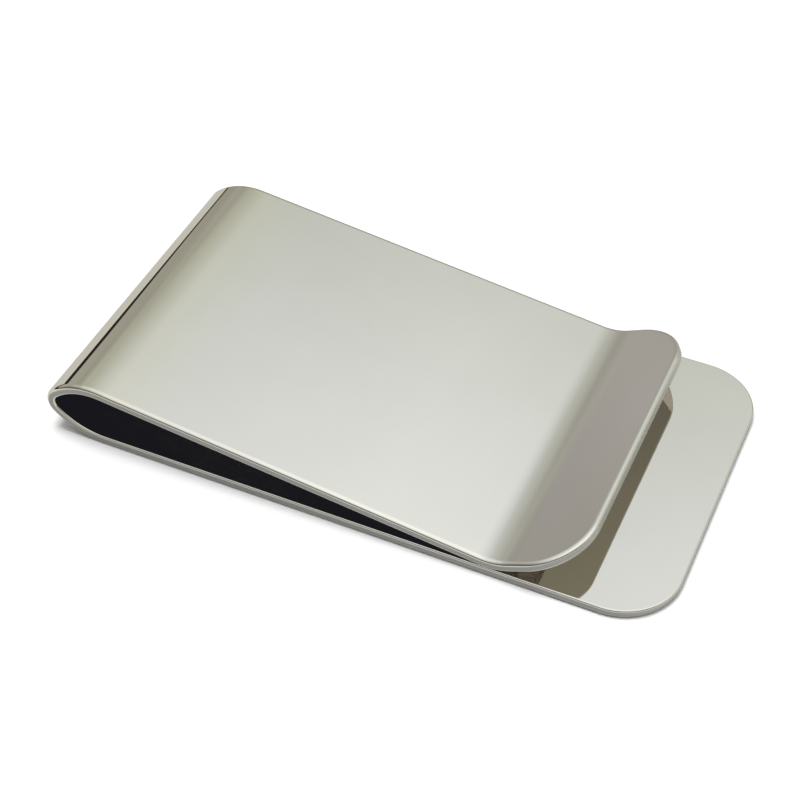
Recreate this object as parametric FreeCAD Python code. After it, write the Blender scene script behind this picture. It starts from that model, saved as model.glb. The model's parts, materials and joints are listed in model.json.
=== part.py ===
"""A spring money clip: one strip of stainless steel, folded into a back leaf and a front leaf.

The strip is modelled as its named sections, in order from the free end of the back leaf, round the
fold, to the free end of the lip. Each section is a solid of its own and meets the next face to face.

Frame: +X points from the fold towards the lip, +Y across the strip, +Z from the back leaf up to the
front leaf. The origin is under the middle of the clip, in the plane of the back leaf's outer face.
Millimetres throughout, and angles in degrees.
"""
import FreeCAD, Part
import math
import os

# The strip
STRIP_WIDTH = 28.0
GAUGE = 0.8                 # thickness of the sheet
EDGE_RADIUS = 0.2           # rounding along every long edge and round both free ends

# Over all
CLIP_LENGTH = 51.2          # from the nose of the fold to the back leaf's free end

# The bends, in order along the strip. A radius is that of the strip's outer face, the one that is
# underneath on the back leaf and on top on the front leaf.
HEEL_RADIUS = 6.5           # lifts the strip off the back leaf's plane
HEEL_TURN = 44.3
NOSE_RADIUS = 1.6           # the tight fold, where the clip springs open
SHOULDER_RADIUS = 5.6       # rounds the top of the fold over into the front leaf
SHOULDER_TURN = 50.6
BEND_RADIUS = 4.0           # turns the strip up again, so that its underside presses on the back leaf

# The front leaf and the lip
FRONT_SLOPE = 7.1           # how far the front leaf slopes down towards the pressure bend
LIP_RISE = 25.2             # how far the lip slopes up, as a lead-in for the notes
LIP_LENGTH = 5.8            # straight part of the lip
PRESS_GAP = 0.05            # clearance under the pressure bend with the clip closed

# Corners of the two free ends, seen square to the sheet
BACK_CORNER_RADIUS = 4.9
LIP_CORNER_RADIUS = 4.55

TOLERANCE = 1e-6
ACROSS = FreeCAD.Vector(0, 1, 0)


def direction(heading):
    """Unit vector in the XZ plane, with heading measured up from +X."""
    return FreeCAD.Vector(math.cos(math.radians(heading)), 0, math.sin(math.radians(heading)))


def inward(heading):
    """Unit vector through the sheet, from the outer face to the inner one."""
    return direction(heading - 90)


def cross_section(start, heading):
    """The strip's rectangular section, square to its heading, at a point of the outer face."""
    half_width = ACROSS * (STRIP_WIDTH / 2)
    near = start - half_width
    far = start + half_width
    through = inward(heading) * GAUGE
    return Part.Face(Part.makePolygon([near, far, far + through, near + through, near]))


def straight(start, heading, length):
    """A flat stretch of the strip, with the point and heading where it ends."""
    run = direction(heading) * length
    return cross_section(start, heading).extrude(run), start + run, heading


def curve(start, heading, outer_radius, turn):
    """A bent stretch. A positive turn closes the strip inward and a negative one opens it outward."""
    side = math.copysign(1, turn)
    centre = start + inward(heading) * outer_radius * side
    solid = cross_section(start, heading).revolve(centre, ACROSS, turn)
    end_heading = heading - turn
    return solid, centre - inward(end_heading) * outer_radius * side, end_heading


def lies_in_plane(edge, point, normal):
    return all(abs((vertex.Point - point).dot(normal)) < TOLERANCE for vertex in edge.Vertexes)


def goes_through_sheet(edge):
    return abs(edge.Length - GAUGE) < TOLERANCE


def round_corners(solid, tip, heading, radius):
    """Rounds the two corners of a free end, seen square to the sheet."""
    corners = [
        edge for edge in solid.Edges
        if goes_through_sheet(edge) and lies_in_plane(edge, tip, direction(heading))
    ]
    return solid.makeFillet(radius, corners).Solids[0]


def soften_edges(solid, seams):
    """Rounds the edges of the sheet, apart from those on the seams where the next section meets it."""
    outline = [
        edge for edge in solid.Edges
        if not goes_through_sheet(edge)
        and not any(lies_in_plane(edge, point, direction(heading)) for point, heading in seams)
    ]
    return solid.makeFillet(EDGE_RADIUS, outline).Solids[0]


def fold_reach():
    """How far the fold's nose stands out past the end of the flat back leaf."""
    return (HEEL_RADIUS - NOSE_RADIUS) * math.sin(math.radians(HEEL_TURN)) + NOSE_RADIUS


def front_leaf_length(top_of_leaf):
    """Length that brings the pressure bend's underside down to the back leaf, from the leaf's top height."""
    slope = math.radians(FRONT_SLOPE)
    drop_in_bend = BEND_RADIUS * (1 - math.cos(slope))
    return (top_of_leaf - drop_in_bend - 2 * GAUGE - PRESS_GAP) / math.sin(slope)


def back_leaf():
    tip = FreeCAD.Vector(CLIP_LENGTH / 2, 0, 0)
    heading = 180
    solid, end, end_heading = straight(tip, heading, CLIP_LENGTH - fold_reach())
    solid = round_corners(solid, tip, heading, BACK_CORNER_RADIUS)
    return soften_edges(solid, [(end, end_heading)]), end, end_heading


def bent_section(start, heading, outer_radius, turn):
    solid, end, end_heading = curve(start, heading, outer_radius, turn)
    return soften_edges(solid, [(start, heading), (end, end_heading)]), end, end_heading


def front_leaf(start, heading):
    solid, end, end_heading = straight(start, heading, front_leaf_length(start.z))
    return soften_edges(solid, [(start, heading), (end, end_heading)]), end, end_heading


def thumb_lip(start, heading):
    solid, tip, end_heading = straight(start, heading, LIP_LENGTH)
    solid = round_corners(solid, tip, end_heading, LIP_CORNER_RADIUS)
    return soften_edges(solid, [(start, heading)])


def clip_sections():
    """Every section by name, built one after another along the strip."""
    nose_turn = 180 + FRONT_SLOPE - HEEL_TURN - SHOULDER_TURN
    sections = {}
    sections["back_leaf"], point, heading = back_leaf()
    sections["heel_curve"], point, heading = bent_section(point, heading, HEEL_RADIUS, HEEL_TURN)
    sections["spring_fold"], point, heading = bent_section(point, heading, NOSE_RADIUS, nose_turn)
    sections["shoulder_curve"], point, heading = bent_section(point, heading, SHOULDER_RADIUS, SHOULDER_TURN)
    sections["front_leaf"], point, heading = front_leaf(point, heading)
    bend_turn = FRONT_SLOPE + LIP_RISE
    sections["pressure_bend"], point, heading = bent_section(point, heading, BEND_RADIUS, -bend_turn)
    sections["thumb_lip"] = thumb_lip(point, heading)
    return sections


os.makedirs("parts", exist_ok=True)
for name, shape in clip_sections().items():
    shape.exportStep(f"parts/{name}.step")
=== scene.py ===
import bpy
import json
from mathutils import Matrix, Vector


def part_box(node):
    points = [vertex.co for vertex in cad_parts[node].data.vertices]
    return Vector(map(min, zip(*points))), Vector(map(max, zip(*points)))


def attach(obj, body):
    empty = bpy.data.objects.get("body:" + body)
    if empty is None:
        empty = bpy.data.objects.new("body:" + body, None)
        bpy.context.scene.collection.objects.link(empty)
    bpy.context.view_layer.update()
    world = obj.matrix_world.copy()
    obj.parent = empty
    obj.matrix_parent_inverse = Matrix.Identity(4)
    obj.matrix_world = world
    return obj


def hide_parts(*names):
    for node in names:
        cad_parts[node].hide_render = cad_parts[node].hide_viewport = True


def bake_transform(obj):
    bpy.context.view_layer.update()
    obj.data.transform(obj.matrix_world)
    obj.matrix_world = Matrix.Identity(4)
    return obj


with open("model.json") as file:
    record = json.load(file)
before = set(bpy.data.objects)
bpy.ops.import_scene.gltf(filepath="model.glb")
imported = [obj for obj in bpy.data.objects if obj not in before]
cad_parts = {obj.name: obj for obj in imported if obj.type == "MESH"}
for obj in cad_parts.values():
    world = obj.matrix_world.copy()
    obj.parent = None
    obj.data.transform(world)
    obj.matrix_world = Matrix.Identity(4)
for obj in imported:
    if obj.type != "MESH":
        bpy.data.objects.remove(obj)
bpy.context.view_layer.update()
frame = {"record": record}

"""Looks of the money clip: one strip of polished steel, drawn section by section round its path.

Each section of the strip replaces the CAD node of the same name with a finer mesh, whose edges are
rounded and polished and whose sheared side walls are satin. Metres and radians, unless a name says
otherwise.
"""
import json
import math

import bmesh
import bpy
from mathutils import Quaternion, Vector

# Driving dimensions of the strip that the frame's boxes don't give
HEEL_RADIUS = 0.0065
HEEL_TURN = math.radians(44.3)
NOSE_RADIUS = 0.0016
SHOULDER_RADIUS = 0.0056
SHOULDER_TURN = math.radians(50.6)
BEND_RADIUS = 0.004
FRONT_SLOPE = math.radians(7.1)
LIP_RISE = math.radians(25.2)
LIP_LENGTH = 0.0058
CORNER_RADII = {"back_leaf": 0.0049, "thumb_lip": 0.00455}

# How far the faces are rounded off towards the sheet's edges, in from the wall and down it.
# Polishing has rolled the outer face off further than the inner one
OUTER_ROLL = (0.00040, 0.00025)
INNER_ROLL = (0.00015, 0.00015)

# Sizes that come from the frame
BACK_LOW, BACK_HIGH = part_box("back_leaf")
FRONT_LOW, FRONT_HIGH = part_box("front_leaf")
HALF_WIDTH = (BACK_HIGH.y - BACK_LOW.y) / 2
GAUGE = BACK_HIGH.z - BACK_LOW.z
BACK_LENGTH = BACK_HIGH.x - BACK_LOW.x
FRONT_LENGTH = (FRONT_HIGH.x - FRONT_LOW.x - GAUGE * math.sin(FRONT_SLOPE)) / math.cos(FRONT_SLOPE)

# Polishing eases each flat leaf into its bend, over this far either side of their seam
EASE = 0.0010

# Fineness of the meshes
CURVE_STEP = math.radians(0.75)
FLAT_STEP = 0.0005
CORNER_STEPS = 48
EDGE_STEPS = 8

# Finishes of a section's faces. A seam is where the section meets the next one
POLISHED, SATIN, SEAM = 0, 1, 2

# Polished steel. A pair of colours is for where its noise is lowest and highest, a noise is
# (scale, detail), a bump is (strength, distance), and a stretch scales its coordinates' X, Y and Z
UNSTRETCHED = (1, 1, 1)
CLOUD = (180, 3)
STEEL_COLOURS = (0.485, 0.457, 0.398), (0.515, 0.483, 0.422)
# The fold's warmer colours are painted reflection: they give the fold the warmer tone of what it mirrors
FOLD_REFLECTION_TINT_COLOURS = (0.485, 0.455, 0.362), (0.515, 0.481, 0.384)
FOLD_REFLECTION_TINT_FADE = (-0.0205, -0.0150)         # X where the fold's painted reflection tint starts to fade and has gone
GRAZING_TINT = (0.68, 0.68, 0.68, 1)     # how both finishes' reflection falls short near grazing
HAIRLINES = (900, 6)
HAIRLINE_STRETCH = (1, 12, 12)
HAIRLINE_RANGE = (0.35, 0.75)
POLISHED_ROUGHNESS = (0.015, 0.06)
HAIRLINE_BUMP = (0.01, 0.00002)
RIPPLE = (90, 2)
RIPPLE_BUMP = (0.02, 0.0002)

# Satin walls, coloured darker than the steel as painted shade, the long slit sides more than the free ends
STREAKS = (2500, 5)
STREAK_STRETCH = (1, 8, 8)
STREAK_RANGE = (0.3, 0.7)
STREAK_BUMP = (0.15, 0.00002)
SATIN_ROUGHNESS = (0.28, 0.45)
LONG_SIDE_SHADE_COLOURS = (0.19, 0.195, 0.18), (0.28, 0.285, 0.265)
FREE_END_SHADE_COLOURS = (0.34, 0.34, 0.30), (0.46, 0.46, 0.41)

# Floor
FLOOR_SIZE = 4.0
FLOOR_MOTTLE = (60, 4)
FLOOR_COLOURS = (0.53, 0.50, 0.485), (0.55, 0.52, 0.505)
FLOOR_ROUGHNESS = 0.9

# Camera: a long lens from the near side, above the open end's side of the clip
LENS_MM = 79.24
SENSOR_MM = 36
CAMERA_AIM = Vector((-0.0012947, 0.0002165, 0.0000512))
CAMERA_DISTANCE = 0.143572
CAMERA_AZIMUTH = math.radians(23.34)
CAMERA_ELEVATION = math.radians(44.821)
CAMERA_ROLL = math.radians(0.766)
CAMERA_CLIP_START = 0.01
CAMERA_VEIL = (0.0085, 0.0088, 0.0115)   # light that a camera's lens scatters into the blacks

# Surroundings: light by height above the horizon, in degrees, which the polished faces mirror.
# The values follow the tones measured on the photograph's faces, so they are fitted to it
SKY = (
    (0, (0.82, 0.84, 0.77)),
    (14, (0.81, 0.82, 0.77)),
    (19, (0.835, 0.835, 0.855)),
    (22, (0.79, 0.80, 0.78)),
    (27, (0.80, 0.82, 0.78)),
    (31, (0.88, 0.92, 0.89)),
    (35, (1.00, 1.04, 1.01)),
    (39, (1.06, 1.13, 1.11)),
    (42, (1.12, 1.20, 1.18)),
    (44.5, (1.18, 1.28, 1.32)),
    (48, (1.33, 1.43, 1.52)),
    (52, (1.48, 1.58, 1.69)),
    (60, (1.65, 1.75, 1.86)),
    (90, (1.90, 2.00, 2.10)),
)
SKY_PEAK = 2.1
ZENITH = 90

# The light's share by the direction's X: less from the fold's side of the room than from the open end's
SIDES = (
    (-0.80, 0.85),
    (-0.72, 0.76),
    (-0.68, 0.77),
    (-0.63, 0.88),
    (-0.56, 0.79),
    (-0.30, 0.81),
    (-0.08, 1.00),
    (0.45, 0.92),
    (0.50, 1.30),
)

# The camera's side of the room gives only a share of the light
NEAR_SHARE = 0.35
NEAR_SIDE = (0.15, -0.35)                # the direction's Y where that side begins and is in full
NEAR_HEIGHT = (0.9, 0.45)                # sine of the height where it begins, downwards, and is in full

# The dark line round the room at floor level, whose height falls off with the direction's Y
SKIRTING_Y = (0.597, 0.661)
SKIRTING_HEIGHT = (math.radians(6.0), math.radians(2.0))
SKIRTING_BLUR = math.radians(1.5)
SKIRTING_SHARE = 0.02

# Enough bounces for light to run back and forth between the two leaves
MIRROR_BOUNCES = 24

# Lamp that lights the floor
SOFTBOX_HEIGHT = 0.6
SOFTBOX_SHIFT = -0.1                     # towards the fold
SOFTBOX_SIZE = 0.25
SOFTBOX_POWER = 4.7
SOFTBOX_COLOUR = (0.94, 1.0, 1.03)


class Stretch:
    """A straight or evenly bent length of the strip, given by its outer face's line in the XZ plane."""

    def __init__(self, start, heading, length=0.0, radius=0.0, turn=0.0):
        self.start = start
        self.heading = heading
        self.radius = radius
        self.turn = turn
        self.length = length or radius * abs(turn)
        self.side = math.copysign(1, turn)
        self.steps = math.ceil(abs(turn) / CURVE_STEP) or flat_steps(self.length)
        self.curvature = turn / self.length
        self.start_jump = 0.0
        self.end_jump = 0.0

    def heading_at(self, along):
        if self.turn == 0:
            return self.heading
        return self.heading - self.turn * along / self.length

    def facing_at(self, along):
        """The heading that the polished faces show, whose curvature ramps evenly across an eased seam."""
        near_start = max(0.0, EASE - along)
        near_end = max(0.0, EASE - self.length + along)
        easing = self.start_jump * near_start ** 2 + self.end_jump * near_end ** 2
        return self.heading_at(along) - easing / (4 * EASE)

    def point_at(self, along):
        if self.turn == 0:
            return self.start + direction(self.heading) * along
        to_centre = inward(self.heading) * self.radius * self.side
        from_centre = inward(self.heading_at(along)) * self.radius * self.side
        return self.start + to_centre - from_centre

    def end(self):
        return self.point_at(self.length), self.heading_at(self.length)


def direction(heading):
    """Unit vector in the XZ plane, with heading measured up from +X."""
    return Vector((math.cos(heading), 0, math.sin(heading)))


def inward(heading):
    """Unit vector through the sheet, from the outer face to the inner one."""
    return direction(heading - math.pi / 2)


def strip_path():
    """Every section's stretch by name, from the back leaf's free end to the lip's."""
    nose_turn = math.pi + FRONT_SLOPE - HEEL_TURN - SHOULDER_TURN
    plan = (
        ("back_leaf", {"length": BACK_LENGTH}),
        ("heel_curve", {"radius": HEEL_RADIUS, "turn": HEEL_TURN}),
        ("spring_fold", {"radius": NOSE_RADIUS, "turn": nose_turn}),
        ("shoulder_curve", {"radius": SHOULDER_RADIUS, "turn": SHOULDER_TURN}),
        ("front_leaf", {"length": FRONT_LENGTH}),
        ("pressure_bend", {"radius": BEND_RADIUS, "turn": -(FRONT_SLOPE + LIP_RISE)}),
        ("thumb_lip", {"length": LIP_LENGTH}),
    )
    point = Vector((BACK_HIGH.x, 0, BACK_LOW.z))
    heading = math.pi
    path = {}
    for name, shape in plan:
        path[name] = Stretch(point, heading, **shape)
        point, heading = path[name].end()
    ease_bends(list(path.values()))
    return path


def ease_bends(stretches):
    """Note the jump in curvature on both sides of each seam between a flat leaf and a bend."""
    for before, after in zip(stretches, stretches[1:]):
        if before.turn == 0 or after.turn == 0:
            before.end_jump = after.start_jump = after.curvature - before.curvature


def flat_steps(length):
    return math.ceil(length / FLAT_STEP)


def side_outline(length, steps):
    """One long side of a section: (along, across, outward direction in the sheet's plane)."""
    return [(length * step / steps, HALF_WIDTH, (0.0, 1.0)) for step in range(steps + 1)]


def rounded_outline(length, corner_radius):
    """One long side of a free-ended section, from its seam at 0 round the corner to the tip."""
    straight = length - corner_radius
    outline = side_outline(straight, flat_steps(straight))[:-1]
    for step in range(CORNER_STEPS + 1):
        angle = math.pi / 2 * step / CORNER_STEPS
        along = straight + corner_radius * math.sin(angle)
        across = HALF_WIDTH - corner_radius + corner_radius * math.cos(angle)
        outline.append((along, across, (math.sin(angle), math.cos(angle))))
    return outline


def edge_profile():
    """The sheet's edge from the outer face to the inner: (inset, depth, outward share, inward share)."""
    profile = []
    for inset, depth, outward, facing in rounding(*OUTER_ROLL):
        profile.append((inset, depth, outward, -facing))
    for inset, depth, outward, facing in reversed(rounding(*INNER_ROLL)):
        profile.append((inset, GAUGE - depth, outward, facing))
    return profile


def rounding(reach, fall):
    """A quarter ellipse from a face to the wall: (inset, depth, the normal's outward and facing shares)."""
    quarter = []
    for step in range(EDGE_STEPS + 1):
        angle = math.pi / 2 * step / EDGE_STEPS
        inset = reach * (1 - math.sin(angle))
        depth = fall * (1 - math.cos(angle))
        normal = Vector((math.sin(angle) / reach, math.cos(angle) / fall)).normalized()
        quarter.append((inset, depth, normal.x, normal.y))
    return quarter


class SectionMesh:
    """Vertices, normals and faces of one section, laid out in the sheet's own plane and bent to its path."""

    def __init__(self, stretch, tip_first):
        self.stretch = stretch
        self.tip_first = tip_first
        self.points = []
        self.normals = []
        self.faces = []
        self.finishes = []

    def add_point(self, along, across, outward, edge):
        inset, depth, outward_share, inward_share = edge
        along -= outward[0] * inset
        across -= outward[1] * inset
        forward = outward[0]
        if self.tip_first:
            along = self.stretch.length - along
            forward = -forward
        through = inward(self.stretch.heading_at(along))
        facing = self.stretch.facing_at(along)
        in_sheet = direction(facing) * forward + Vector((0, outward[1], 0))
        self.points.append(self.stretch.point_at(along) + through * depth + Vector((0, across, 0)))
        self.normals.append(in_sheet * outward_share + inward(facing) * inward_share)
        return len(self.points) - 1

    def add_side(self, outline, mirror):
        """Rows of vertices down the edge, one row for each point of a side's outline."""
        rows = []
        profile = edge_profile()
        for along, across, (forward, sideways) in outline:
            outward = (forward, sideways * mirror)
            rows.append([self.add_point(along, across * mirror, outward, edge) for edge in profile])
        return rows

    def add_face(self, corners, finish):
        self.faces.append(corners)
        self.finishes.append(finish)

    def add_edge_wall(self, row, next_row):
        """The rounded edge between two rows: polished roundings either side of a satin wall."""
        wall = EDGE_STEPS
        for place in range(len(row) - 1):
            finish = SATIN if place == wall else POLISHED
            self.add_face((row[place], next_row[place], next_row[place + 1], row[place + 1]), finish)


def section_mesh(name, stretch, outline, tip=False, tip_first=False):
    """A closed mesh of one section. A tip is a free end, and tip_first means that the path starts there."""
    build = SectionMesh(stretch, tip_first)
    left = build.add_side(outline, 1)
    right = build.add_side(outline, -1)
    for step in range(len(outline) - 1):
        build.add_edge_wall(left[step], left[step + 1])
        build.add_edge_wall(right[step + 1], right[step])
        for face in (0, -1):
            skin = (left[step][face], right[step][face], right[step + 1][face], left[step + 1][face])
            build.add_face(skin, POLISHED)
    build.add_face(left[0] + right[0][::-1], SEAM)
    if tip:
        build.add_edge_wall(left[-1], right[-1])
    else:
        build.add_face(left[-1] + right[-1][::-1], SEAM)
    return finished_mesh(name, build)


def finished_mesh(name, build):
    """The mesh with its materials and normals. Seams are flat and share the walls' satin."""
    mesh = bpy.data.meshes.new(name)
    mesh.from_pydata(build.points, [], build.faces)
    face_outward(mesh)
    mesh.polygons.foreach_set("material_index", [min(finish, SATIN) for finish in build.finishes])
    mesh.polygons.foreach_set("use_smooth", [True] * len(mesh.polygons))
    normals = []
    for polygon in mesh.polygons:
        flat = build.finishes[polygon.index] == SEAM
        for vertex in polygon.vertices:
            normals.append(polygon.normal if flat else build.normals[vertex])
    mesh.normals_split_custom_set(normals)
    return mesh


def face_outward(mesh):
    cells = bmesh.new()
    cells.from_mesh(mesh)
    bmesh.ops.recalc_face_normals(cells, faces=cells.faces)
    cells.to_mesh(mesh)
    cells.free()
    mesh.update()


def add_piece(name, mesh, materials):
    piece = bpy.data.objects.new(name + "_steel", mesh)
    bpy.context.scene.collection.objects.link(piece)
    for material in materials:
        mesh.materials.append(material)
    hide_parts(name)
    return piece


def steel_mesh(name, stretch):
    """One section's mesh. Only the sections with rounded corners have a free end."""
    if name not in CORNER_RADII:
        return section_mesh(name, stretch, side_outline(stretch.length, stretch.steps))
    outline = rounded_outline(stretch.length, CORNER_RADII[name])
    return section_mesh(name, stretch, outline, tip=True, tip_first=name == "back_leaf")


def add_clip(materials):
    """All seven sections. The fold stays where it is built and the others ride on their bodies."""
    bodies = frame["record"]["behaviour"]["bodies"]
    body_of = {node: body for body, nodes in bodies.items() for node in nodes}
    for name, stretch in strip_path().items():
        piece = add_piece(name, steel_mesh(name, stretch), materials)
        if name == "spring_fold":
            blend_fold(piece, stretch)
        else:
            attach(piece, body_of[name])


def blend_fold(piece, stretch):
    """The fold stays where it is built, with its transform baked into its vertices."""
    end = stretch.end()[0]
    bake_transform(piece)


def node_tree(material):
    material.use_nodes = True
    nodes = material.node_tree.nodes
    return nodes, material.node_tree.links, nodes["Principled BSDF"]


def noise(nodes, links, coordinates, scale, detail):
    texture = nodes.new("ShaderNodeTexNoise")
    texture.inputs["Scale"].default_value = scale
    texture.inputs["Detail"].default_value = detail
    links.new(coordinates, texture.inputs["Vector"])
    return texture.outputs["Fac"]


def stretched_coordinates(nodes, links, scale=UNSTRETCHED):
    coordinates = nodes.new("ShaderNodeTexCoord")
    mapping = nodes.new("ShaderNodeMapping")
    mapping.inputs["Scale"].default_value = scale
    links.new(coordinates.outputs["Object"], mapping.inputs["Vector"])
    return mapping.outputs["Vector"]


def in_range(nodes, links, value, low, high, to_low, to_high):
    remap = nodes.new("ShaderNodeMapRange")
    remap.inputs["From Min"].default_value = low
    remap.inputs["From Max"].default_value = high
    remap.inputs["To Min"].default_value = to_low
    remap.inputs["To Max"].default_value = to_high
    links.new(value, remap.inputs["Value"])
    return remap.outputs["Result"]


def maths(nodes, links, operation, *values):
    node = nodes.new("ShaderNodeMath")
    node.operation = operation
    for value, socket in zip(values, node.inputs):
        links.new(value, socket)
    return node.outputs["Value"]


def product(nodes, links, one, other):
    return maths(nodes, links, "MULTIPLY", one, other)


def separated(nodes, links, vector):
    """A vector's X, Y and Z, by name."""
    parts = nodes.new("ShaderNodeSeparateXYZ")
    links.new(vector, parts.inputs["Vector"])
    return parts.outputs


def bumped(nodes, links, height, strength, distance, normal=None):
    bump = nodes.new("ShaderNodeBump")
    bump.inputs["Strength"].default_value = strength
    bump.inputs["Distance"].default_value = distance
    links.new(height, bump.inputs["Height"])
    if normal is not None:
        links.new(normal, bump.inputs["Normal"])
    return bump.outputs["Normal"]


def tinted(nodes, links, factor, low, high):
    mix = nodes.new("ShaderNodeMix")
    mix.data_type = "RGBA"
    mix.inputs["A"].default_value = (*low, 1)
    mix.inputs["B"].default_value = (*high, 1)
    links.new(factor, mix.inputs["Factor"])
    return mix.outputs["Result"]


def ramp(nodes, links, factor, stops):
    """Colours by a factor from 0 to 1, with stops as (position, colour)."""
    colours = nodes.new("ShaderNodeValToRGB")
    elements = colours.color_ramp.elements
    while len(elements) < len(stops):
        elements.new(1.0)
    for element, (position, colour) in zip(elements, stops):
        element.position = position
        element.color = (*colour, 1)
    links.new(factor, colours.inputs["Fac"])
    return colours.outputs["Color"]


def blended(nodes, links, factor, one, other):
    mix = nodes.new("ShaderNodeMix")
    mix.data_type = "RGBA"
    links.new(factor, mix.inputs["Factor"])
    links.new(one, mix.inputs["A"])
    links.new(other, mix.inputs["B"])
    return mix.outputs["Result"]


def polished_steel():
    """Mirror polish with a faint ripple, hairlines along the strip, and a warmer painted reflection tint
    round the fold.
    """
    material = bpy.data.materials.new("polished_steel")
    nodes, links, shader = node_tree(material)
    shader.inputs["Metallic"].default_value = 1.0
    shader.inputs["Specular Tint"].default_value = GRAZING_TINT
    plain = stretched_coordinates(nodes, links)
    along = stretched_coordinates(nodes, links, HAIRLINE_STRETCH)
    cloud = noise(nodes, links, plain, *CLOUD)
    steel = tinted(nodes, links, cloud, *STEEL_COLOURS)
    # Painted reflection: the steel's colour is warmer round the fold
    fold_reflection_tint = tinted(nodes, links, cloud, *FOLD_REFLECTION_TINT_COLOURS)
    place = separated(nodes, links, plain)
    near_fold = in_range(nodes, links, place["X"], *FOLD_REFLECTION_TINT_FADE, 1, 0)
    links.new(blended(nodes, links, near_fold, steel, fold_reflection_tint), shader.inputs["Base Color"])
    hairlines = noise(nodes, links, along, *HAIRLINES)
    roughness = in_range(nodes, links, hairlines, *HAIRLINE_RANGE, *POLISHED_ROUGHNESS)
    links.new(roughness, shader.inputs["Roughness"])
    ripple = noise(nodes, links, plain, *RIPPLE)
    rippled = bumped(nodes, links, ripple, *RIPPLE_BUMP)
    scratched = bumped(nodes, links, hairlines, *HAIRLINE_BUMP, rippled)
    links.new(scratched, shader.inputs["Normal"])
    return material


def satin_edge():
    """The sheared and tumbled side walls: rougher, with fine streaks along the strip, and painted shade in
    their colour, darker on the long sides than at the ends.
    """
    material = bpy.data.materials.new("satin_edge")
    nodes, links, shader = node_tree(material)
    shader.inputs["Metallic"].default_value = 1.0
    shader.inputs["Specular Tint"].default_value = GRAZING_TINT
    along = stretched_coordinates(nodes, links, STREAK_STRETCH)
    streaks = noise(nodes, links, along, *STREAKS)
    long_side_shade = tinted(nodes, links, streaks, *LONG_SIDE_SHADE_COLOURS)
    free_end_shade = tinted(nodes, links, streaks, *FREE_END_SHADE_COLOURS)
    # Painted shade by facing: walls that face along Y get the darker colours
    geometry = nodes.new("ShaderNodeNewGeometry")
    facing = separated(nodes, links, geometry.outputs["Normal"])
    sidewaysness = product(nodes, links, facing["Y"], facing["Y"])
    colour = blended(nodes, links, sidewaysness, free_end_shade, long_side_shade)
    links.new(colour, shader.inputs["Base Color"])
    roughness = in_range(nodes, links, streaks, *STREAK_RANGE, *SATIN_ROUGHNESS)
    links.new(roughness, shader.inputs["Roughness"])
    links.new(bumped(nodes, links, streaks, *STREAK_BUMP), shader.inputs["Normal"])
    return material


def floor_paint():
    """Matt pale paint, faintly mottled."""
    material = bpy.data.materials.new("pale_floor")
    nodes, links, shader = node_tree(material)
    shader.inputs["Roughness"].default_value = FLOOR_ROUGHNESS
    shader.inputs["Specular IOR Level"].default_value = 0.0
    mottle = noise(nodes, links, stretched_coordinates(nodes, links), *FLOOR_MOTTLE)
    links.new(tinted(nodes, links, mottle, *FLOOR_COLOURS), shader.inputs["Base Color"])
    return material


def add_floor():
    half = FLOOR_SIZE / 2
    mesh = bpy.data.meshes.new("floor")
    corners = [(-half, -half, 0), (half, -half, 0), (half, half, 0), (-half, half, 0)]
    mesh.from_pydata(corners, [], [(0, 1, 2, 3)])
    mesh.materials.append(floor_paint())
    floor = bpy.data.objects.new("floor", mesh)
    bpy.context.scene.collection.objects.link(floor)


def sky_colour(nodes, links, height):
    stops = [(degrees / ZENITH, [value / SKY_PEAK for value in colour]) for degrees, colour in SKY]
    return ramp(nodes, links, in_range(nodes, links, height, 0, math.pi / 2, 0, 1), stops)


def side_share(nodes, links, x):
    stops = [((place + 1) / 2, [share] * 3) for place, share in SIDES]
    return ramp(nodes, links, in_range(nodes, links, x, -1, 1, 0, 1), stops)


def near_share(nodes, links, y, z):
    """Less light from the camera's side of the room, except high up."""
    near = in_range(nodes, links, y, *NEAR_SIDE, 0, 1)
    low_down = in_range(nodes, links, z, *NEAR_HEIGHT, 0, 1)
    return in_range(nodes, links, product(nodes, links, near, low_down), 0, 1, 1, NEAR_SHARE)


def skirting_share(nodes, links, y, height):
    """Almost no light from below the skirting's height, with a soft top edge."""
    skirting = in_range(nodes, links, y, *SKIRTING_Y, *SKIRTING_HEIGHT)
    over = maths(nodes, links, "SUBTRACT", height, skirting)
    return in_range(nodes, links, over, 0, SKIRTING_BLUR, SKIRTING_SHARE, 1)


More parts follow.
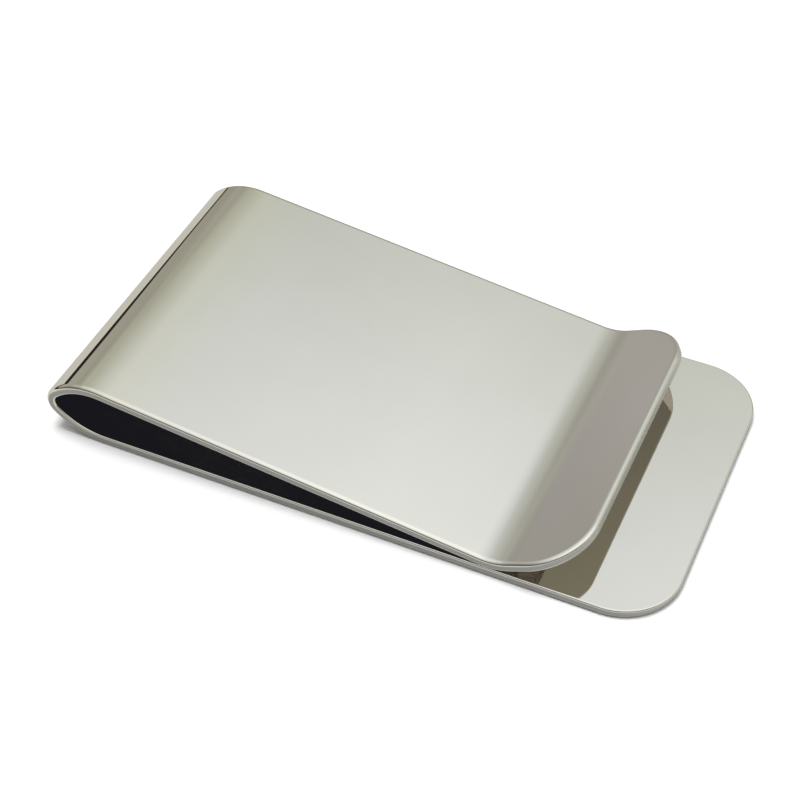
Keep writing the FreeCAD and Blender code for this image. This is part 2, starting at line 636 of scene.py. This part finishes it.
def add_surroundings():
    """A plain studio's light by height above the horizon, shared out by the side that it comes from."""
    world = bpy.data.worlds.new("studio")
    bpy.context.scene.world = world
    world.use_nodes = True
    nodes = world.node_tree.nodes
    links = world.node_tree.links
    background = nodes["Background"]
    background.inputs["Strength"].default_value = SKY_PEAK
    coordinates = nodes.new("ShaderNodeTexCoord")
    toward = separated(nodes, links, coordinates.outputs["Generated"])
    height = maths(nodes, links, "ARCSINE", toward["Z"])
    side = side_share(nodes, links, toward["X"])
    near = near_share(nodes, links, toward["Y"], toward["Z"])
    skirting = skirting_share(nodes, links, toward["Y"], height)
    light = product(nodes, links, product(nodes, links, side, near), skirting)
    shaded = nodes.new("ShaderNodeVectorMath")
    shaded.operation = "SCALE"
    links.new(sky_colour(nodes, links, height), shaded.inputs["Vector"])
    links.new(light, shaded.inputs["Scale"])
    links.new(shaded.outputs["Vector"], background.inputs["Color"])


def add_softbox():
    """A lamp overhead, a little towards the fold, which lights the floor and isn't mirrored in the steel."""
    light = bpy.data.lights.new("softbox", "AREA")
    light.shape = "DISK"
    light.size = SOFTBOX_SIZE
    light.energy = SOFTBOX_POWER
    light.color = SOFTBOX_COLOUR
    lamp = bpy.data.objects.new("softbox", light)
    lamp.location = (SOFTBOX_SHIFT, 0, SOFTBOX_HEIGHT)
    lamp.visible_glossy = False
    bpy.context.scene.collection.objects.link(lamp)


def veil_blacks():
    """A camera's blacks come out as a very dark, faintly blue grey."""
    view = bpy.context.scene.view_settings
    view.view_transform = "Standard"
    view.use_curve_mapping = True
    for curve, level in zip(view.curve_mapping.curves, CAMERA_VEIL):
        curve.points[0].location = (0.0, level)
    view.curve_mapping.update()


def add_camera():
    """The photograph's view, as fitted to the clip's outlines."""
    azimuth, elevation = CAMERA_AZIMUTH, CAMERA_ELEVATION
    back = Vector((
        math.sin(azimuth) * math.cos(elevation),
        -math.cos(azimuth) * math.cos(elevation),
        math.sin(elevation),
    ))
    lens = bpy.data.cameras.new("camera")
    lens.lens = LENS_MM
    lens.sensor_width = SENSOR_MM
    lens.clip_start = CAMERA_CLIP_START
    camera = bpy.data.objects.new("camera", lens)
    camera.location = CAMERA_AIM + back * CAMERA_DISTANCE
    level = back.to_track_quat("Z", "Y")
    roll = Quaternion((0, 0, 1), CAMERA_ROLL)
    camera.rotation_euler = (level @ roll).to_euler()
    bpy.context.scene.collection.objects.link(camera)
    bpy.context.scene.camera = camera


add_camera()
add_floor()
add_surroundings()
add_softbox()
add_clip((polished_steel(), satin_edge()))
veil_blacks()
bpy.context.scene.cycles.max_bounces = MIRROR_BOUNCES
bpy.context.scene.cycles.glossy_bounces = MIRROR_BOUNCES
